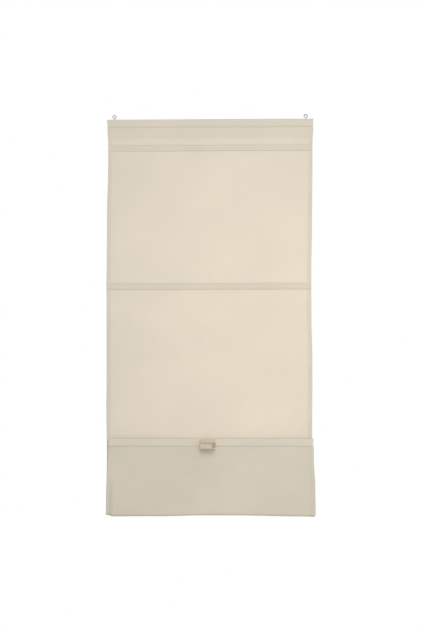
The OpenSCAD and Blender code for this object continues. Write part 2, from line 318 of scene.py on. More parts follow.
def round_lath(node, edge_round, air, seam_back, seam_front):
    """Cloth from a seam up the back of a lath, over its top and down its front to the seam."""
    low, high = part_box(node)
    bend = edge_round + air
    halves = []
    for side, seam in ((1, seam_back), (-1, seam_front)):
        edge_y = high.y - edge_round if side > 0 else low.y + edge_round
        over = over_edge((low.y + high.y) / 2, (edge_y, high.z - edge_round), bend, side)
        under = under_edge((edge_y, low.z + edge_round), bend, side, seam)
        halves.append(np.vstack((over, under)))
    return np.vstack((halves[0][:0:-1], halves[1]))


def over_batten(low_z, high_z, room, flat_y, rise_y, steps=5):
    """A layer over a batten, standing off between its two lines of stitches."""
    u = np.linspace(0, 1, steps + 1)
    y = flat_y + (rise_y - flat_y) * ease(u)
    upper = np.column_stack((y, high_z + room * (1 - u)))
    lower = np.column_stack((y, low_z - room * (1 - u)))[::-1]
    return np.vstack((upper, lower))


def soften(points, cut):
    """Rounds the corners of a path."""
    out = [points[0]]
    for before, here, after in zip(points, points[1:], points[2:]):
        back, on = before - here, after - here
        reach_back, reach_on = np.hypot(*back), np.hypot(*on)
        turn = math.acos(np.clip(-(back @ on) / (reach_back * reach_on), -1, 1))
        if turn < STRAIGHT:
            out.append(here)
            continue
        a = here + back / reach_back * min(cut, CORNER_SHARE * reach_back)
        b = here + on / reach_on * min(cut, CORNER_SHARE * reach_on)
        out += [(1 - u) ** 2 * a + 2 * u * (1 - u) * here + u * u * b for u in CORNER_STEPS]
    return np.array(out + [points[-1]])


def lengths_along(points):
    """Distance along a path to each of its points."""
    return np.concatenate(([0], np.cumsum(np.hypot(*np.diff(points, axis=0).T))))


def sway_at(table, z):
    """Sideways offset at a height, eased between the listed points."""
    heights, offsets = np.array(sorted(table)).T * MM
    shifts = np.linspace(-SWAY_EASE, SWAY_EASE, 5)
    return sum(np.interp(z + shift, heights, offsets) for shift in shifts) / len(shifts)


class HangingCloth:
    """The middle surface of the cloth, from its turned head to the end of its bottom hem.

    A place on it is given by x, the distance across from the middle, and s, the distance along.
    """

    def __init__(self, settings):
        self.c = c = settings.cloth
        self.layer = c.thickness + c.layer_gap
        self.batten_boxes = [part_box(level + "_batten") for level in LEVELS]
        self.seam_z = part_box("head_batten")[0].z - c.seam_room
        self.bar_seam_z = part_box("bottom_bar")[0].z - c.seam_room
        self.back_y = self.batten_boxes[0][1].y + c.fit_gap + c.thickness / 2
        self.draw_path()
        self.set_rows()

    def draw_path(self):
        """Draws the section of the cloth and notes where its seams and its fold lie along it."""
        c = self.c
        air = c.fit_gap + c.thickness / 2
        seam = (c.head_seam_y, self.seam_z)
        seam_back = (c.head_seam_y + self.layer, self.seam_z)
        lean = -c.head_seam_y / (self.seam_z - self.batten_boxes[0][1].z - c.stitch_room)
        behind = c.head_seam_y + TURN_LAYERS * self.layer
        lower_low, lower_high = self.batten_boxes[2]
        fold_z = (lower_low.z + lower_high.z) / 2 - c.fold_drop + c.thickness / 2
        fold_centre = np.array((-c.fold_radius, fold_z + c.fold_radius))
        flap_top = np.array((c.bar_seam_y, self.bar_seam_z))
        rise = flap_top - fold_centre
        flap_angle = math.atan2(rise[1], rise[0]) + math.acos(c.fold_radius / np.hypot(*rise))
        out = np.array((math.cos(flap_angle), math.sin(flap_angle)))
        down = np.array((-out[1], out[0]))
        seam_front = flap_top + self.layer * out
        pockets = [
            over_batten(low.z, high.z, c.stitch_room, 0, -c.front_bulge) for low, high in self.batten_boxes
        ]
        path = np.vstack((
            [(behind + lean * drop, self.seam_z - drop) for drop in (c.head_turn, TURN_START)],
            round_lath("head_batten", c.head_round, air, seam_back, seam),
            *pockets,
            arc(fold_centre, c.fold_radius, 360, math.degrees(flap_angle), FOLD_STEPS),
            round_lath("bottom_bar", c.bar_round, air, flap_top, seam_front),
            [seam_front + down * c.seam_tail],
        ))
        apart = np.hypot(*np.diff(path, axis=0).T) > SAME_POINT
        self.path = soften(path[np.concatenate(([True], apart))], CORNER_CUT)
        self.path_s = lengths_along(self.path)
        self.head_front_s = self.nearest(seam)
        self.pocket_s = [
            (self.nearest((0, high.z + c.stitch_room)), self.nearest((0, low.z - c.stitch_room)))
            for low, high in self.batten_boxes
        ]
        self.fold_s = (
            self.nearest(fold_centre + (c.fold_radius, 0)),
            self.nearest(fold_centre + c.fold_radius * out),
        )
        self.flap_s = self.nearest(flap_top)
        self.length = self.path_s[-1]

    def nearest(self, point):
        """Distance along the section to its point that lies nearest."""
        return self.path_s[np.argmin(np.hypot(*(self.path - point).T))]

    def crease_s(self, z):
        """Distance along the hanging cloth to a height in millimetres."""
        return self.head_front_s + self.seam_z - z * MM

    def set_rows(self):
        """Chooses the rows of the mesh: close at the seams and creases, wide where it hangs free."""
        self.lines = [self.head_front_s, self.flap_s] + [s for pair in self.pocket_s for s in pair]
        extra = [s + side * d * MM for s in self.lines for side in (-1, 1) for d in SEAM_ROWS]
        extra += [self.crease_s(z) + d * MM for z, _, _ in CREASES for d in CREASE_ROWS]
        rows = list(self.path_s)
        for s in sorted(extra):
            if min(abs(s - row) for row in rows) > ROW_GAP:
                rows.append(s)
        rows.sort()
        filled = [rows[0]]
        for s in rows[1:]:
            gap = s - filled[-1]
            count = max(1, math.ceil(gap / self.c.row_step))
            filled += [s - gap * (count - k) / count for k in range(1, count + 1)]
        self.rows = np.array(filled)

    def flap_share(self, s):
        """0 on the hanging cloth and 1 on the lifted flap, turning over round the fold."""
        start, end = self.fold_s
        return ease((s - start) / (end - start))

    def slack(self, s):
        """0 where the cloth is held by a seam, a lath or its head, rising to 1 where it hangs free."""
        held = [(0, self.head_front_s)] + self.pocket_s + [(self.flap_s, self.length)]
        away = np.min([np.maximum(a - s, 0) + np.maximum(s - b, 0) for a, b in held], axis=0)
        return ease(away / FREE_LENGTH)

    def rise(self, x, s):
        """Height of the cloth's own waves, puckers, grooves and creases, towards its reverse."""
        c = self.c
        circle = 2 * math.pi
        # Each wave drifts sideways in its own way as it runs down
        drifts = (1.6 * np.sin(4.1 * s), -7.3 * s, circle * s / 0.37)
        wave = sum(
            strength * np.sin(circle * (x / width + start) + drift)
            for (strength, width, start), drift in zip(WAVES, drifts)
        )
        height = c.wave_height * self.slack(s) * wave
        near = np.min([np.abs(s - line) for line in self.lines], axis=0)
        pucker = sum(
            strength * np.sin(circle * x / width + wander * np.sin(rate * x) + drift * s)
            for strength, width, wander, rate, drift in PUCKERS
        )
        fade = np.exp(-near / PUCKER_REACH) * ease(near / PUCKER_START)
        height = height + c.pucker_height * pucker * fade
        height = height + c.groove_depth * np.exp(-((near / GROOVE_REACH) ** 2))
        for _, bottom in self.pocket_s:
            below = np.maximum(s - bottom, 0) / SAG_REACH
            height = height + c.pocket_sag * below * np.exp(1 - below)
        up = np.clip((s - self.fold_s[1]) / (self.flap_s - self.fold_s[1]), 0, 1)
        height = height + c.flap_belly * np.sin(math.pi * up)
        for z, left, right in CREASES:
            line = self.crease_s(z) + CREASE_WANDER * np.sin(x * CREASE_WANDER_RATE)
            from_left = ease((x - left * MM) / CREASE_END + 0.5)
            inside = from_left * ease((right * MM - x) / CREASE_END + 0.5)
            height = height - c.crease_height * inside * np.exp(-np.abs(s - line) / CREASE_REACH)
        return height

    def place(self, x, s, out=0.0, flat=False):
        """Points on the surface, or at a distance out from it towards its reverse."""
        c = self.c
        x, s = np.broadcast_arrays(np.asarray(x, float), np.asarray(s, float))
        y = np.interp(s, self.path_s, self.path[:, 0])
        z = np.interp(s, self.path_s, self.path[:, 1])
        normal = self.normal(s)
        share = self.flap_share(s)
        left = (1 - share) * sway_at(HANGING_LEFT, z) + share * sway_at(FLAP_LEFT, z)
        right = (1 - share) * sway_at(HANGING_RIGHT, z) + share * sway_at(FLAP_RIGHT, z)
        moved_x = x + left + (right - left) * (x / c.width + 0.5)
        height = out + (0 if flat else self.rise(x, s))
        low = ease((self.batten_boxes[2][0].z - EDGE_START - z) / (c.fold_drop - EDGE_START))
        ends = 2 * x / c.width
        dip = EDGE_DIP * np.exp(-(((ends - DIP_AT) / DIP_WIDTH) ** 2))
        lift = low * (EDGE_RISE - EDGE_CURVE * ends**2 - EDGE_TILT * ends - dip) * MM
        stiff = ease((c.hem_width - c.width / 2 - x) / HEM_EDGE + 0.5)
        lift = lift + low * stiff * HEM_PULL
        tuck = stiff * share * ease((self.bar_seam_z - TUCK_START - z) / TUCK_LENGTH) * TUCK_DEPTH
        moved_y = y + normal[..., 0] * height + tuck
        return np.stack((moved_x, moved_y, z + normal[..., 1] * height + lift), -1)

    def normal(self, s):
        """Direction from the face of the cloth to its reverse, in depth and height."""
        along = np.stack([
            np.interp(s + SLOPE_STEP, self.path_s, column) - np.interp(s - SLOPE_STEP, self.path_s, column)
            for column in self.path.T
        ], -1)
        along /= np.linalg.norm(along, axis=-1, keepdims=True)
        return np.stack((-along[..., 1], along[..., 0]), -1)

    def hem_rise(self, s):
        """Distance from the cloth to its turned hem, which goes round the ends of the battens."""
        room = self.c.stitch_room
        rise = np.full(np.shape(s), self.layer)
        for top, bottom in self.pocket_s:
            shape = ease((s - top) / room) * ease((bottom - s) / room)
            rise = rise + shape * (self.back_y + self.c.front_bulge - self.layer)
        return rise

    def hem_range(self):
        """Distances along the cloth at which the side hems begin and end."""
        return self.head_front_s + self.c.seam_tail / 2, self.flap_s - self.c.seam_tail / 2


# Meshes

# Corners of the fabric that are sharper than this show as edges
FABRIC_EDGE = math.radians(50)

# A stitch from end to end: shares of its length, lifts and widths in radii of the thread
STITCH_SHARES = (0.0, 0.16, 0.5, 0.84, 1.0)
STITCH_LIFTS = (-0.9, 0.25, 0.7, 0.25, -0.9)
STITCH_WIDTHS = (0.25, 0.85, 1.0, 0.85, 0.25)
STITCH_FLATNESS = 0.8


def new_piece(name, vertices, faces, material, places=None):
    """A mesh object, with its places along the weave as a UV map where they are given."""
    mesh = bpy.data.meshes.new(name)
    mesh.from_pydata([tuple(map(float, v)) for v in vertices], [], [tuple(f) for f in faces])
    if places is not None:
        corner = np.empty(len(mesh.loops), int)
        mesh.loops.foreach_get("vertex_index", corner)
        weave = mesh.uv_layers.new(name="Weave")
        weave.data.foreach_set("uv", np.asarray(places, float)[corner].astype(np.float32).ravel())
    mesh.materials.append(material)
    mesh.shade_smooth()
    piece = bpy.data.objects.new(name, mesh)
    bpy.context.scene.collection.objects.link(piece)
    return piece


def thicken(piece, thickness, reverse=None):
    """Gives a sheet its thickness, half to each side, and its reverse a finish of its own."""
    solid = piece.modifiers.new("Thickness", "SOLIDIFY")
    solid.thickness = thickness
    solid.offset = 0
    solid.use_quality_normals = True
    if reverse:
        piece.data.materials.append(reverse)
        solid.material_offset = 1
    sheet = piece.data
    depsgraph = bpy.context.evaluated_depsgraph_get()
    piece.data = bpy.data.meshes.new_from_object(piece.evaluated_get(depsgraph))
    piece.modifiers.clear()
    bpy.data.meshes.remove(sheet)
    piece.data.name = piece.name
    piece.data.shade_smooth()
    piece.data.set_sharp_from_angle(angle=FABRIC_EDGE)


def quads(corner):
    """Faces between the neighbours in a grid of vertex numbers."""
    sides = (corner[:-1, :-1], corner[1:, :-1], corner[1:, 1:], corner[:-1, 1:])
    return np.stack(sides, -1).reshape(-1, 4)


def grid_piece(name, points, x, along, material):
    """A mesh of rows and columns, with its places on the weave."""
    faces = quads(np.arange(x.size).reshape(x.shape))
    places = np.stack((x, along), -1).reshape(-1, 2)
    return new_piece(name, points.reshape(-1, 3), faces, material, places)


def tube_faces(rings, sides):
    """Faces of a tube whose vertices run ring by ring, with its two ends."""
    corner = np.arange(rings * sides).reshape(rings, sides)
    around = np.roll(quads(np.column_stack((corner, corner[:, 0])))[:, ::-1], 1, axis=1)
    return [*around.tolist(), corner[0, ::-1].tolist(), corner[-1].tolist()]


def tube(points, radii, sides):
    """Vertices of a round tube along points that lie in an upright plane from left to right."""
    along = np.gradient(points, axis=0)
    along /= np.linalg.norm(along, axis=1, keepdims=True)
    side = np.cross(along[0], (0, 1, 0))
    vertices = []
    for point, direction, radius in zip(points, along, radii):
        side = side - direction * (side @ direction)
        side = side / np.linalg.norm(side)
        other = np.cross(direction, side)
        for k in range(sides):
            angle = 2 * math.pi * k / sides
            vertices.append(point + radius * (math.cos(angle) * side + math.sin(angle) * other))
    return vertices


def stitch_mesh(starts, ends, outs, radius):
    """Vertices and faces of stitches: short threads that rise from the cloth and dip back in."""
    along = ends - starts
    side = np.cross(along, outs)
    side /= np.linalg.norm(side, axis=1, keepdims=True)
    rings = []
    for share, lift, width in zip(STITCH_SHARES, STITCH_LIFTS, STITCH_WIDTHS):
        middle = starts + along * share + outs * (lift * radius)
        for a, b in ((1, 0), (0, 1), (-1, 0), (0, -1)):
            rings.append(middle + radius * width * (a * side + STITCH_FLATNESS * b * outs))
    vertices = np.stack(rings, 1)
    first = np.arange(len(vertices))[:, None, None] * len(rings)
    faces = first + np.array(tube_faces(len(STITCH_SHARES), 4))
    return vertices.reshape(-1, 3), faces.reshape(-1, 4)


# Materials

# Tint of the light that comes through the cloth
GLOW = (1.0, 0.89, 0.96)


class Nodes:
    """The emptied nodes of a material or a world, with short calls to add and link them."""

    def __init__(self, owner):
        owner.use_nodes = True
        self.nodes = owner.node_tree.nodes
        self.links = owner.node_tree.links
        self.nodes.clear()

    def put(self, node, inputs):
        """Sets or links inputs of a node, by number or by name with _ for a space."""
        for key, value in inputs.items():
            socket = node.inputs[key if isinstance(key, int) else key.replace("_", " ")]
            if isinstance(value, bpy.types.NodeSocket):
                self.links.new(value, socket)
            else:
                socket.default_value = value

    def add(self, kind, settings=None, **inputs):
        """Adds a node."""
        node = self.nodes.new("ShaderNode" + kind)
        for key, value in (settings or {}).items():
            setattr(node, key, value)
        self.put(node, inputs)
        return node

    def math(self, operation, *values):
        """The result of an operation on up to three numbers."""
        node = self.add("Math", {"operation": operation})
        self.put(node, dict(enumerate(values)))
        return node.outputs[0]


class Finish(Nodes):
    """A new material of one Principled shader, with short calls for patterns and relief."""

    def __init__(self, name):
        self.material = bpy.data.materials.new(name)
        super().__init__(self.material)
        self.shader = self.add("BsdfPrincipled")
        self.output = self.add("OutputMaterial", Surface=self.shader.outputs[0])

    def shade(self, **inputs):
        """Sets or links inputs of the shader."""
        self.put(self.shader, inputs)

    def object_place(self):
        """The place on the object itself."""
        return self.add("TexCoord").outputs["Object"]

    def total(self, a, a_weight, b, b_weight):
        """A weighted sum."""
        return self.math("MULTIPLY_ADD", a, a_weight, self.math("MULTIPLY", b, b_weight))

    def mix(self, share, a, b):
        """A colour between a and b."""
        node = self.add("Mix", {"data_type": "RGBA"})
        self.put(node, {0: share, 6: a, 7: b})
        return node.outputs[2]

    def scaled(self, place, scale):
        """A place scaled apart in its three directions."""
        return self.add("Mapping", Vector=place, Scale=scale).outputs[0]

    def noise(self, place, scale, detail=2.0):
        """A noise value from 0 to 1."""
        node = self.add("TexNoise", Vector=self.scaled(place, scale), Scale=1.0, Detail=detail)
        return node.outputs["Fac"]

    def bump(self, height, distance, strength):
        """Adds fine relief to the shader."""
        normal = self.add("Bump", Height=height, Distance=distance, Strength=strength).outputs[0]
        self.shade(Normal=normal)
        return normal


def rgba(colour, gain=1.0):
    """A colour with full alpha, made lighter or darker."""
    return tuple(min(1.0, channel * gain) for channel in colour) + (1.0,)


def woven_finish(name, colour, pitch, light_through=0.0, twill=False):
    """A plain or twill weave, with slubs and a little unevenness of colour."""
    f = Finish(name)
    place = f.add("UVMap", {"uv_map": "Weave"}).outputs[0]
    split = f.add("SeparateXYZ", Vector=place).outputs
    wander = f.noise(place, (60, 60, 1))
    across, along = (f.total(split[axis], 2 * math.pi / pitch, wander, 3.0) for axis in "XY")
    if twill:
        height = f.math("SINE", f.math("ADD", across, f.math("MULTIPLY", along, 0.6)))
    else:
        height = f.math("MULTIPLY", f.math("SINE", across), f.math("SINE", along))
    weft = f.noise(place, (9, 900, 1), 3.0)
    warp = f.noise(place, (900, 9, 1), 3.0)
    slub = f.total(weft, 0.6, warp, 0.4)
    streak = f.noise(place, (11, 150, 1))
    cloud = f.noise(place, (5, 6, 1), 4.0)
    tone = f.total(slub, 0.55, cloud, 0.45)
    tone = f.math("MULTIPLY_ADD", f.math("SUBTRACT", streak, 0.5), 0.12, tone)
    tone = f.math("MULTIPLY_ADD", height, 0.06, tone)
    tone = f.add("MapRange", Value=tone, From_Min=0.25, From_Max=0.75).outputs[0]
    f.shade(Base_Color=f.mix(tone, rgba(colour, 0.94), rgba(colour, 1.06)), Roughness=0.92,
            Specular_IOR_Level=0.2, Sheen_Weight=0.08, Sheen_Roughness=0.6)
    normal = f.bump(f.math("MULTIPLY_ADD", slub, 0.8, height), 0.12 * MM, 0.7)
    if light_through:
        glow = [channel * tint for channel, tint in zip(colour, GLOW)]
        inside = f.mix(tone, rgba(glow, 0.94), rgba(glow, 1.06))
        through = f.add("BsdfTranslucent", Color=inside, Normal=normal)
        both = f.add("MixShader", Fac=light_through)
        f.put(both, {1: f.shader.outputs[0], 2: through.outputs[0]})
        f.put(f.output, {"Surface": both.outputs[0]})
    return f.material


def thread_finish(name, colour):
    """Sewing thread with its twist."""
    f = Finish(name)
    twist = f.noise(f.object_place(), (2600, 2600, 2600), 1.0)
    f.shade(Base_Color=f.mix(twist, rgba(colour, 0.9), rgba(colour, 1.08)), Roughness=0.7, Sheen_Weight=0.1)
    f.bump(twist, 0.05 * MM, 0.5)
    return f.material


def pine_finish(name, light, dark):
    """Planed pine with its grain along the batten."""
    f = Finish(name)
    place = f.object_place()
    drift = f.noise(place, (3, 40, 40), 3.0)
    bands = {"wave_type": "BANDS", "bands_direction": "Z", "wave_profile": "SAW"}
    rings = f.add("TexWave", bands, Vector=f.scaled(place, (1.2, 160, 190)), Scale=0.32, Distortion=5.0,
                  Detail=2.0)
    grain = f.total(drift, 0.45, rings.outputs["Fac"], 0.55)
    pores = f.noise(place, (60, 3000, 3000))
    base = f.mix(grain, rgba(light), rgba(dark))
    rough = f.add("MapRange", Value=pores, To_Min=0.5, To_Max=0.75)
    f.shade(Base_Color=f.mix(f.math("MULTIPLY", pores, 0.25), base, rgba(dark)), Roughness=rough.outputs[0])
    f.bump(f.math("ADD", pores, grain), 0.08 * MM, 0.6)
    return f.material


def metal_finish(name, colour, roughness, lines, relief):
    """Metal with fine drawn lines, or a mottled plating where lines is the same in all directions."""
    f = Finish(name)
    mark = f.noise(f.object_place(), lines, 3.0)
    rough = f.add("MapRange", Value=mark, To_Min=roughness * 0.7, To_Max=roughness * 1.3)
    f.shade(Base_Color=f.mix(mark, rgba(colour, 0.88), rgba(colour, 1.08)), Metallic=1.0,
            Roughness=rough.outputs[0])
    f.bump(mark, relief, 0.5)
    return f.material


# Operators

# Radius of the turn at a side edge, steps round it, and the length of weave that it takes up
EDGE_TURN = 0.6 * MM
EDGE_STEPS = 4
EDGE_WEAVE = 2 * MM
# Mesh lines of a side hem, from the turned edge inwards, before its raw edge
HEM_LINES = (2.5 * MM, 5.5 * MM, 8.5 * MM)

# Mesh of a tape, the light that it lets through, and its puckers
TAPE_COLUMNS = 96
TAPE_STEPS = 7
TAPE_LIGHT = 0.3
TAPE_PUCKER = 0.12 * MM
TAPE_PUCKER_STEP = 6.3 * MM
TAPE_PUCKER_WANDER, TAPE_PUCKER_RATE = 2, 37
TAPE_PUCKER_DEPTH = 4 * MM

# Ends of a seam from the side edges, stitches from the raw edge of a hem, and where they start
SEAM_INSET = 3 * MM
HEM_STITCH_INSET = 2.2 * MM
HEM_STITCH_START = 2 * MM

# Mesh of the strap, and how far its corners are rounded
STRAP_ROWS = 110
STRAP_COLUMNS = 21
STRAP_CUT = 2.2 * MM
# Air between two layers of the strap that lie on each other, and the length of a sewn end that lies flat
STRAP_AIR = 0.1 * MM
SEWN_FLAT = 6 * MM
# The roll: back from the front of the strap's box, up from its bottom, and its ends in degrees
ROLL_BACK, ROLL_LIFT = 0.4 * MM, 1.2 * MM
ROLL_START, ROLL_END = 150, 285
BEND_STEPS, ROLL_STEPS = 10, 9
# The strap narrows by a share at its bend, from a drop below the middle of the bend, over a length
PINCH, PINCH_DROP, PINCH_LENGTH = 0.09, 7 * MM, 9 * MM
# Below its crease the right end curls in, from a share of the half width on
CURL, CURL_START, CURL_BLEND = 0.35, 0.6, 8 * MM
CURL_DROP, CURL_RISE = 3 * MM, 0.6
# The front of the loop shifts to the left towards its right end, up to this far
SHIFT, SHIFT_START = 9 * MM, 0.1
SHIFT_TOP, SHIFT_BLEND, SHIFT_TURN = 5 * MM, 6 * MM, 3 * MM

# The ring of an eye, from its neck round to its cut end, in degrees
RING_START, RING_END = -58, 238
RING_POINTS, NECK_STEPS, SHANK_STEPS, WIRE_SIDES = 40, 8, 11, 16
WIRE_EDGE = math.radians(40)
# The neck under the ring, and the point that bends it
NECK_LENGTH = 2.6 * MM
KNEE_DROP = 0.5 * MM
# Shares of the wire's radius at the point of the screw, above it and at the cut end
POINT_SHARE, TAPER_SHARE, CUT_END_SHARE = 0.2, 0.7, 0.86

# Lamps as (name, place, aim, size)
LAMPS = (
    ("Key lamp", (0.54, -3.6, 2.84), (0, 0, -0.58), (2.1, 2.1)),
    ("Fill lamp", (0.31, -1.6, -0.44), (0.31, 0, -0.44), (1.7, 1.7)),
    ("Back lamp", (0.11, 0.24, -0.6), (0.11, 0, -0.6), (0.64, 1.0)),
    ("Low lamp", (0.1, -0.2, -1.7), (0.1, -0.02, -1.15), (1.2, 0.4)),
)
# The camera's aim to the right of the middle, and its sensor in millimetres
AIM_X = 0.5 * MM
SENSOR_WIDTH = 36
FLOOR_CORNERS = ((-2.2, -3.0), (2.2, -3.0), (2.2, 1.0), (-2.2, 1.0))


def dress(piece, node):
    """Puts a piece on the body in the place of a CAD node."""
    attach(piece, BODY)
    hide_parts(node)


class BLIND_OT_cloth(bpy.types.Operator):
    """Hang the cloth, with its pockets, side hems and lifted fold"""

    bl_idname = "blind.cloth"
    bl_label = "Cloth"

    def execute(self, context):
        settings = context.scene.blind
        c = settings.cloth
        cloth = HangingCloth(settings)
        half = c.width / 2 - EDGE_TURN
        columns = np.linspace(-half, half, round(2 * half / c.column_step) + 1)
        x, s = np.meshgrid(columns, cloth.rows)
        vertices = [cloth.place(x, s).reshape(-1, 3)]
        places = [np.stack((x, s), -1).reshape(-1, 2)]
        faces = [quads(np.arange(x.size).reshape(x.shape))]
        for side, column in ((-1, 0), (1, len(columns) - 1)):
            first = sum(len(group) for group in vertices)
            hem = self.hem(cloth, side, side * half, len(columns), column, first)
            for group, added in zip((vertices, places, faces), hem):
                group.append(added)
        material = woven_finish("Plain cotton", c.colour, c.thread_pitch, c.light_through)
        piece = new_piece("hanging_cloth", np.vstack(vertices), np.vstack(faces), material,
                          np.vstack(places))
        # The side hems take the darker reverse finish on both sides: painted shade that keeps the hems on
        # the flap as dark as the flap.
        hem_count = sum(len(group) for group in faces[1:])
        piece.data.polygons.foreach_set("material_index", np.repeat((0, 1), (len(faces[0]), hem_count)))
        # A darker copy of the cloth for its reverse: painted shade.
        reverse_painted_shade_colour = [channel * c.reverse_painted_shade for channel in c.colour]
        reverse = woven_finish("Plain cotton, reverse, painted shade", reverse_painted_shade_colour, c.thread_pitch, c.light_through)
        thicken(piece, c.thickness, reverse)
        dress(piece, "blind_cloth")
        return {"FINISHED"}

    def hem(self, cloth, side, edge, columns, column, first):
        """Vertices, weave places and faces of one side hem, joined to a column of the cloth's mesh."""
        start, end = cloth.hem_range()
        hemmed = np.flatnonzero((cloth.rows >= start) & (cloth.rows <= end))
        s = cloth.rows[hemmed]
        rise = cloth.hem_rise(s)
        strips, marks = [], []
        for angle in np.linspace(0, math.pi, EDGE_STEPS + 1)[1:]:
            reach = side * EDGE_TURN * math.sin(angle)
            strips.append(cloth.place(edge + reach, s, rise * (1 - math.cos(angle)) / 2))
            marks.append(edge + side * EDGE_TURN * angle)
        for inward in (*HEM_LINES, cloth.c.hem_width - EDGE_TURN):
            strips.append(cloth.place(edge - side * inward, s, rise))
            marks.append(edge + side * (EDGE_WEAVE + inward))
        grid = np.stack(strips, 1)
        places = np.stack(np.meshgrid(marks, s), -1)
        corner = first + np.arange(grid.shape[0] * grid.shape[1]).reshape(grid.shape[:2])
        corner = np.column_stack((hemmed * columns + column, corner))
        faces = quads(corner)
        return grid.reshape(-1, 3), places.reshape(-1, 2), faces if side > 0 else faces[:, ::-1]


class BLIND_OT_tapes(bpy.types.Operator):
    """Sew a strip of tape behind each batten"""

    bl_idname = "blind.tapes"
    bl_label = "Pocket tapes"

    def execute(self, context):
        settings = context.scene.blind
        c, t = settings.cloth, settings.tape
        cloth = HangingCloth(settings)
        half = c.width / 2 - c.hem_width - t.end_gap
        columns = np.linspace(-half, half, TAPE_COLUMNS)
        wander = TAPE_PUCKER_WANDER * np.sin(columns * TAPE_PUCKER_RATE)
        pucker = TAPE_PUCKER * np.sin(columns / TAPE_PUCKER_STEP + wander)
        material = woven_finish("Woven tape", t.colour, t.thread_pitch, TAPE_LIGHT, twill=True)
        for level, (low, high), (top, _) in zip(LEVELS, cloth.batten_boxes, cloth.pocket_s):
            section = self.section(cloth, low.z, high.z)
            along = lengths_along(section)
            s = top + (high.z + c.stitch_room) - section[:, 1]
            x, row = np.meshgrid(columns, np.arange(len(section)))
            points = cloth.place(x, s[row], 0.0, flat=True)
            points[..., 1] = section[row, 0] + pucker * ease(section[row, 0] / TAPE_PUCKER_DEPTH)
            piece = grid_piece(level + "_tape", points, x, along[row], material)
            thicken(piece, c.thickness)
            dress(piece, level + "_pocket_tape")
        return {"FINISHED"}

    def section(self, cloth, low_z, high_z):
        """Section of a tape over the back of its batten, with its tails beyond the stitches."""
        c = cloth.c
        section = over_batten(low_z, high_z, c.stitch_room, cloth.layer, cloth.back_y, TAPE_STEPS)
        middle = len(section) // 2
        across = np.linspace(0, 1, TAPE_STEPS)[1:-1, None]
        face = section[middle - 1] * (1 - across) + section[middle] * across
        tail = np.array((0, c.seam_tail))
        return np.vstack(
            ([section[0] + tail], section[:middle], face, section[middle:], [section[-1] - tail]))


class BLIND_OT_stitches(bpy.types.Operator):
    """Sew the seams, the pockets and the side hems"""

    bl_idname = "blind.stitches"
    bl_label = "Stitches"

    def execute(self, context):
        settings = context.scene.blind
        c = settings.cloth
        cloth = HangingCloth(settings)
        face, reverse = -c.thickness / 2, c.thickness / 2
        tape_half = c.width / 2 - c.hem_width - settings.tape.end_gap
        seam_half = c.width / 2 - SEAM_INSET
        hem_x = c.width / 2 - c.hem_width + HEM_STITCH_INSET
        both = (face, reverse + cloth.layer)
        pockets = [s for pair in cloth.pocket_s for s in pair]
        seams = (cloth.head_front_s, cloth.flap_s)
        hems = (-hem_x, hem_x)
        t = settings.stitch
        groups = {
            "pocket_stitches": [self.across(cloth, t, tape_half, s, out) for s in pockets for out in both],
            "seam_stitches": [self.across(cloth, t, seam_half, s, out) for s in seams for out in both],
            "hem_stitches": [self.along(cloth, t, x, out) for x in hems for out in (face, reverse)],
        }
        material = thread_finish("Sewing thread", t.colour)
        for name, lines in groups.items():
            starts, ends, outs = (np.vstack(group) for group in zip(*lines))
            vertices, faces = stitch_mesh(starts, ends, outs, t.radius)
            piece = new_piece(name, vertices, faces, material)
            piece.parent = bpy.data.objects["hanging_cloth"]
        return {"FINISHED"}

    def across(self, cloth, t, half, s, out):
        """A line of stitches across the cloth."""
        count = int(2 * half / t.pitch)
        x = (np.arange(count) - (count - 1) / 2) * t.pitch
        starts = cloth.place(x - t.length / 2, s, out)
        ends = cloth.place(x + t.length / 2, s, out)
        normal = math.copysign(1, out) * cloth.normal(np.full(count, s))
        return starts, ends, np.column_stack((np.zeros(count), normal))

    def along(self, cloth, t, x, out):
        """A line of stitches down a side hem, on the face or on the hem itself."""
        first, last = cloth.hem_range()
        s = np.arange(first + HEM_STITCH_START, last - t.pitch, t.pitch)
        starts, ends = (
            cloth.place(np.full_like(s, x), at, out + cloth.hem_rise(at) if out > 0 else out)
            for at in (s, s + t.length)
        )
        normal = math.copysign(1, out) * cloth.normal(s + t.length / 2)
        return starts, ends, np.column_stack((np.zeros(len(s)), normal))


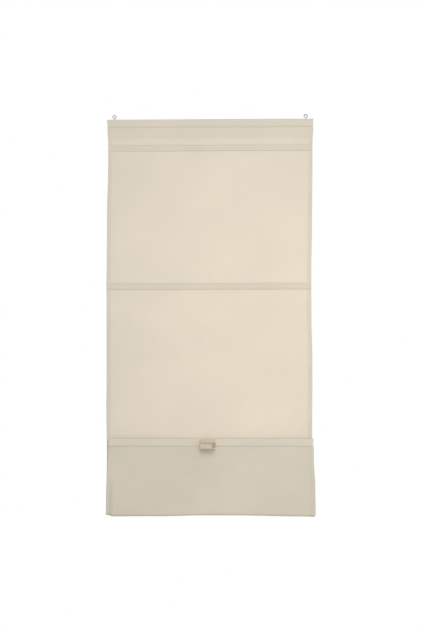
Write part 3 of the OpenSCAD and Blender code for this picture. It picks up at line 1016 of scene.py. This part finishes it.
class BLIND_OT_strap(bpy.types.Operator):
    """Fold the pull strap over the bar and sew it on"""

    bl_idname = "blind.strap"
    bl_label = "Pull strap"

    def execute(self, context):
        settings = context.scene.blind
        p = settings.strap
        low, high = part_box("pull_tab")
        path, bend, crease, sewn_y = self.section(settings, low, high)
        along = lengths_along(path)
        rows = np.linspace(0, along[-1], STRAP_ROWS)
        half = (high.x - low.x) / 2
        x, row = np.meshgrid(np.linspace(-half, half, STRAP_COLUMNS), np.arange(len(rows)))
        y, z = (np.interp(rows, along, column)[row] for column in path.T)
        share = x / half
        hanging = ease((crease[1] - z) / CURL_BLEND) * ease((sewn_y - y) / CURL_BLEND)
        curl = hanging * CURL * np.clip((share - CURL_START) / (1 - CURL_START), 0, 1) ** 2
        curled_y = y + (crease[0] - y) * curl
        curled_z = z + (crease[1] - CURL_DROP - z) * curl * CURL_RISE
        pinch = 1 - PINCH * ease((z - bend[1] + PINCH_DROP) / PINCH_LENGTH)
        lowest = rows[np.argmin(z[:, 0])]
        front = ease((lowest - rows[row]) / SHIFT_TURN) * ease((crease[1] + SHIFT_TOP - z) / SHIFT_BLEND)
        shift = SHIFT * front * ease((share - SHIFT_START) / (1 - SHIFT_START))
        points = np.stack(((low.x + high.x) / 2 + x * pinch - shift, curled_y, curled_z), -1)
        material = woven_finish("Twill strap", p.colour, p.rib_pitch, twill=True)
        piece = grid_piece("pull_strap", points, x, rows[row], material)
        # A darker copy of the strap for the inside of the loop: painted shade.
        inside_painted_shade_colour = [channel * p.inside_painted_shade for channel in p.colour]
        thicken(piece, p.thickness, woven_finish("Twill strap, inside, painted shade", inside_painted_shade_colour, p.rib_pitch, twill=True))
        dress(piece, "pull_tab")
        return {"FINISHED"}

    def section(self, settings, low, high):
        """Section of the strap, with the middle of its bend, its crease and its sewn depth."""
        c, p = settings.cloth, settings.strap
        bar_low, bar_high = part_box("bottom_bar")
        top_z = bar_high.z + c.fit_gap + c.thickness
        back_y = high.y - p.thickness / 2
        sewn_y = back_y - p.thickness - STRAP_AIR
        sewn_z = (bar_low.z + bar_high.z) / 2 - p.sewn_height / 2
        inner = p.bend_radius + p.thickness / 2
        outer = inner + p.thickness + STRAP_AIR
        bend = (back_y - outer, top_z - p.bend_drop)
        crease = (sewn_y - 2 * p.thickness - 4 * STRAP_AIR, top_z - p.crease_drop)
        reach = p.thickness / 2 + p.roll_radius
        roll = (low.y + reach + ROLL_BACK, low.z + reach + ROLL_LIFT)
        roll_bottom = (sewn_y, roll[1] - p.roll_radius)
        path = np.vstack((
            [(back_y, sewn_z), (back_y, sewn_z + SEWN_FLAT)],
            arc(bend, outer, 0, 180, BEND_STEPS),
            [self.moved((bend[0] - outer, bend[1]), -0.3, -4.5), crease],
            [self.moved(crease, 4, -0.6), self.moved(crease, 7.5, -2.6)],
            arc(roll, p.roll_radius, ROLL_START, ROLL_END, ROLL_STEPS),
            [self.moved(roll_bottom, 5.5, 2), self.moved((sewn_y, crease[1]), 2.2, -7)],
            [(sewn_y - p.thickness - STRAP_AIR, crease[1])],
            [self.moved((bend[0] - inner, bend[1]), -0.4, -4.5)],
            arc(bend, inner, 180, 0, BEND_STEPS),
            [(sewn_y, sewn_z + SEWN_FLAT), (sewn_y, sewn_z)],
        ))
        return soften(path, STRAP_CUT), bend, crease, sewn_y

    def moved(self, point, forward, up):
        """A point moved by given distances in millimetres."""
        return point[0] - forward * MM, point[1] + up * MM


class BLIND_OT_eyes(bpy.types.Operator):
    """Bend the two screw eyes"""

    bl_idname = "blind.eyes"
    bl_label = "Screw eyes"

    def execute(self, context):
        e = context.scene.blind.eye
        low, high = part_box("screw_eyes")
        # The middles of the rings lie at height 0, so the top of a ring is also its outer radius
        centre_x = high.x - high.z
        angles = np.radians(np.linspace(RING_START, RING_END, RING_POINTS))
        ring = e.ring_radius * np.column_stack((np.cos(angles), np.sin(angles)))
        foot = np.array((0, -e.ring_radius - NECK_LENGTH))
        knee = np.array((0, -e.ring_radius - KNEE_DROP))
        u = np.linspace(0, 1, NECK_STEPS + 1)[:-1, None]
        neck = (1 - u) ** 2 * foot + 2 * u * (1 - u) * knee + u * u * ring[0]
        shank_z = np.linspace(low.z, foot[1], SHANK_STEPS + 1)[:-1]
        shank = np.column_stack((np.zeros(len(shank_z)), shank_z))
        line = np.vstack((shank, neck, ring))
        radii = np.full(len(line), e.wire_radius)
        radii[0] *= POINT_SHARE
        radii[1] *= TAPER_SHARE
        radii[-1] *= CUT_END_SHARE
        vertices, faces = [], []
        for side in (-1, 1):
            points = np.column_stack((side * centre_x + line[:, 0], np.zeros(len(line)), line[:, 1]))
            faces += [[len(vertices) + k for k in face] for face in tube_faces(len(line), WIRE_SIDES)]
            vertices += tube(points, radii, WIRE_SIDES)
        material = metal_finish("Zinc plate", e.colour, 0.38, (900, 900, 900), 0.03 * MM)
        piece = new_piece("wire_eyes", vertices, faces, material)
        piece.data.set_sharp_from_angle(angle=WIRE_EDGE)
        dress(piece, "screw_eyes")
        return {"FINISHED"}


class BLIND_OT_finishes(bpy.types.Operator):
    """Finish the wood and metal inside the pockets"""

    bl_idname = "blind.finishes"
    bl_label = "Wood and metal"

    def execute(self, context):
        f = context.scene.blind.finish
        pine = pine_finish("Planed pine", f.pine_light, f.pine_dark)
        aluminium = metal_finish("Mill aluminium", f.aluminium, 0.34, (6, 2500, 2500), 0.02 * MM)
        nickel = metal_finish("Nickel plate", f.nickel, 0.2, (700, 700, 700), 0.01 * MM)
        chosen = {"head_batten": pine, "bottom_bar": aluminium, "bar_magnets": nickel}
        for level in LEVELS:
            chosen[level + "_batten"] = pine
            chosen[level + "_magnets"] = nickel
        for node, material in chosen.items():
            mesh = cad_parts[node].data
            mesh.materials.clear()
            mesh.materials.append(material)
        return {"FINISHED"}


class BLIND_OT_studio(bpy.types.Operator):
    """Set up the camera, the lamps, the floor and the white room"""

    bl_idname = "blind.studio"
    bl_label = "Studio"

    def execute(self, context):
        scene = context.scene
        s = scene.blind.studio
        self.camera(scene, s)
        powers = (s.key_power, s.fill_power, s.back_power, s.low_power)
        for (name, place, aim, size), power in zip(LAMPS, powers):
            lamp = bpy.data.lights.new(name, "AREA")
            lamp.shape = "RECTANGLE"
            lamp.size, lamp.size_y = size
            lamp.energy = power
            self.aimed(scene, lamp, place, aim).visible_camera = False
        self.floor(s)
        self.room(scene, s)
        scene.view_settings.view_transform = "Standard"
        return {"FINISHED"}

    def aimed(self, scene, data, place, aim):
        """A camera or a lamp at a place, turned to a point."""
        thing = bpy.data.objects.new(data.name, data)
        thing.location = place
        thing.rotation_euler = (Vector(aim) - Vector(place)).to_track_quat("-Z", "Y").to_euler()
        scene.collection.objects.link(thing)
        return thing

    def camera(self, scene, s):
        """A camera in front, a little to the right."""
        data = bpy.data.cameras.new("Camera")
        data.lens = s.lens
        data.sensor_width = SENSOR_WIDTH
        aim = Vector((AIM_X, 0, s.aim_z))
        place = aim + s.distance * Vector((math.sin(s.turn), -math.cos(s.turn), 0))
        scene.camera = self.aimed(scene, data, place, aim)
        scene.camera.rotation_euler.rotate_axis("Z", -s.roll)

    def floor(self, s):
        """A pale floor under the blind."""
        f = Finish("Pale floor")
        cloud = f.noise(f.object_place(), (3, 3, 3))
        tone = f.mix(cloud, rgba(s.floor_colour, 0.98), rgba(s.floor_colour))
        f.shade(Base_Color=tone, Roughness=0.9)
        corners = [(x, y, s.floor_z) for x, y in FLOOR_CORNERS]
        new_piece("floor", corners, [(0, 1, 2, 3)], f.material)

    def room(self, scene, s):
        """White to the camera and in reflections, and a soft even light on the object."""
        scene.world = bpy.data.worlds.new("Room")
        n = Nodes(scene.world)
        ray = n.add("LightPath").outputs
        seen = n.math("MAXIMUM", ray["Is Camera Ray"], ray["Is Glossy Ray"])
        clear = n.math("SUBTRACT", ray["Is Transmission Ray"], ray["Is Diffuse Ray"])
        mix = n.add("MixShader", Fac=n.math("MAXIMUM", seen, clear))
        for slot, level in ((1, s.room_level), (2, 1.0)):
            light = n.add("Background", Color=(1, 1, 1, 1), Strength=level)
            n.put(mix, {slot: light.outputs[0]})
        n.add("OutputWorld", Surface=mix.outputs[0])


OPERATORS = (
    BLIND_OT_cloth,
    BLIND_OT_tapes,
    BLIND_OT_stitches,
    BLIND_OT_strap,
    BLIND_OT_eyes,
    BLIND_OT_finishes,
    BLIND_OT_studio,
)


class BLIND_PT_sidebar(bpy.types.Panel):
    """Lists the steps that build the blind"""

    bl_idname = "BLIND_PT_sidebar"
    bl_label = "Roman Blind"
    bl_space_type = "VIEW_3D"
    bl_region_type = "UI"
    bl_category = "Blind"

    def draw(self, context):
        for operator in OPERATORS:
            self.layout.operator(operator.bl_idname)


GROUPS = (
    ClothSettings,
    TapeSettings,
    StitchSettings,
    StrapSettings,
    EyeSettings,
    FinishSettings,
    StudioSettings,
    BlindSettings,
)


def register():
    for cls in GROUPS + OPERATORS + (BLIND_PT_sidebar,):
        bpy.utils.register_class(cls)
    bpy.types.Scene.blind = group_of(BlindSettings, "Blind", "All the settings of the blind")


def unregister():
    del bpy.types.Scene.blind
    for cls in reversed(GROUPS + OPERATORS + (BLIND_PT_sidebar,)):
        bpy.utils.unregister_class(cls)


def main():
    register()
    bpy.ops.blind.cloth()
    bpy.ops.blind.tapes()
    bpy.ops.blind.stitches()
    bpy.ops.blind.strap()
    bpy.ops.blind.eyes()
    bpy.ops.blind.finishes()
    bpy.ops.blind.studio()


if __name__ == "__main__":
    main()
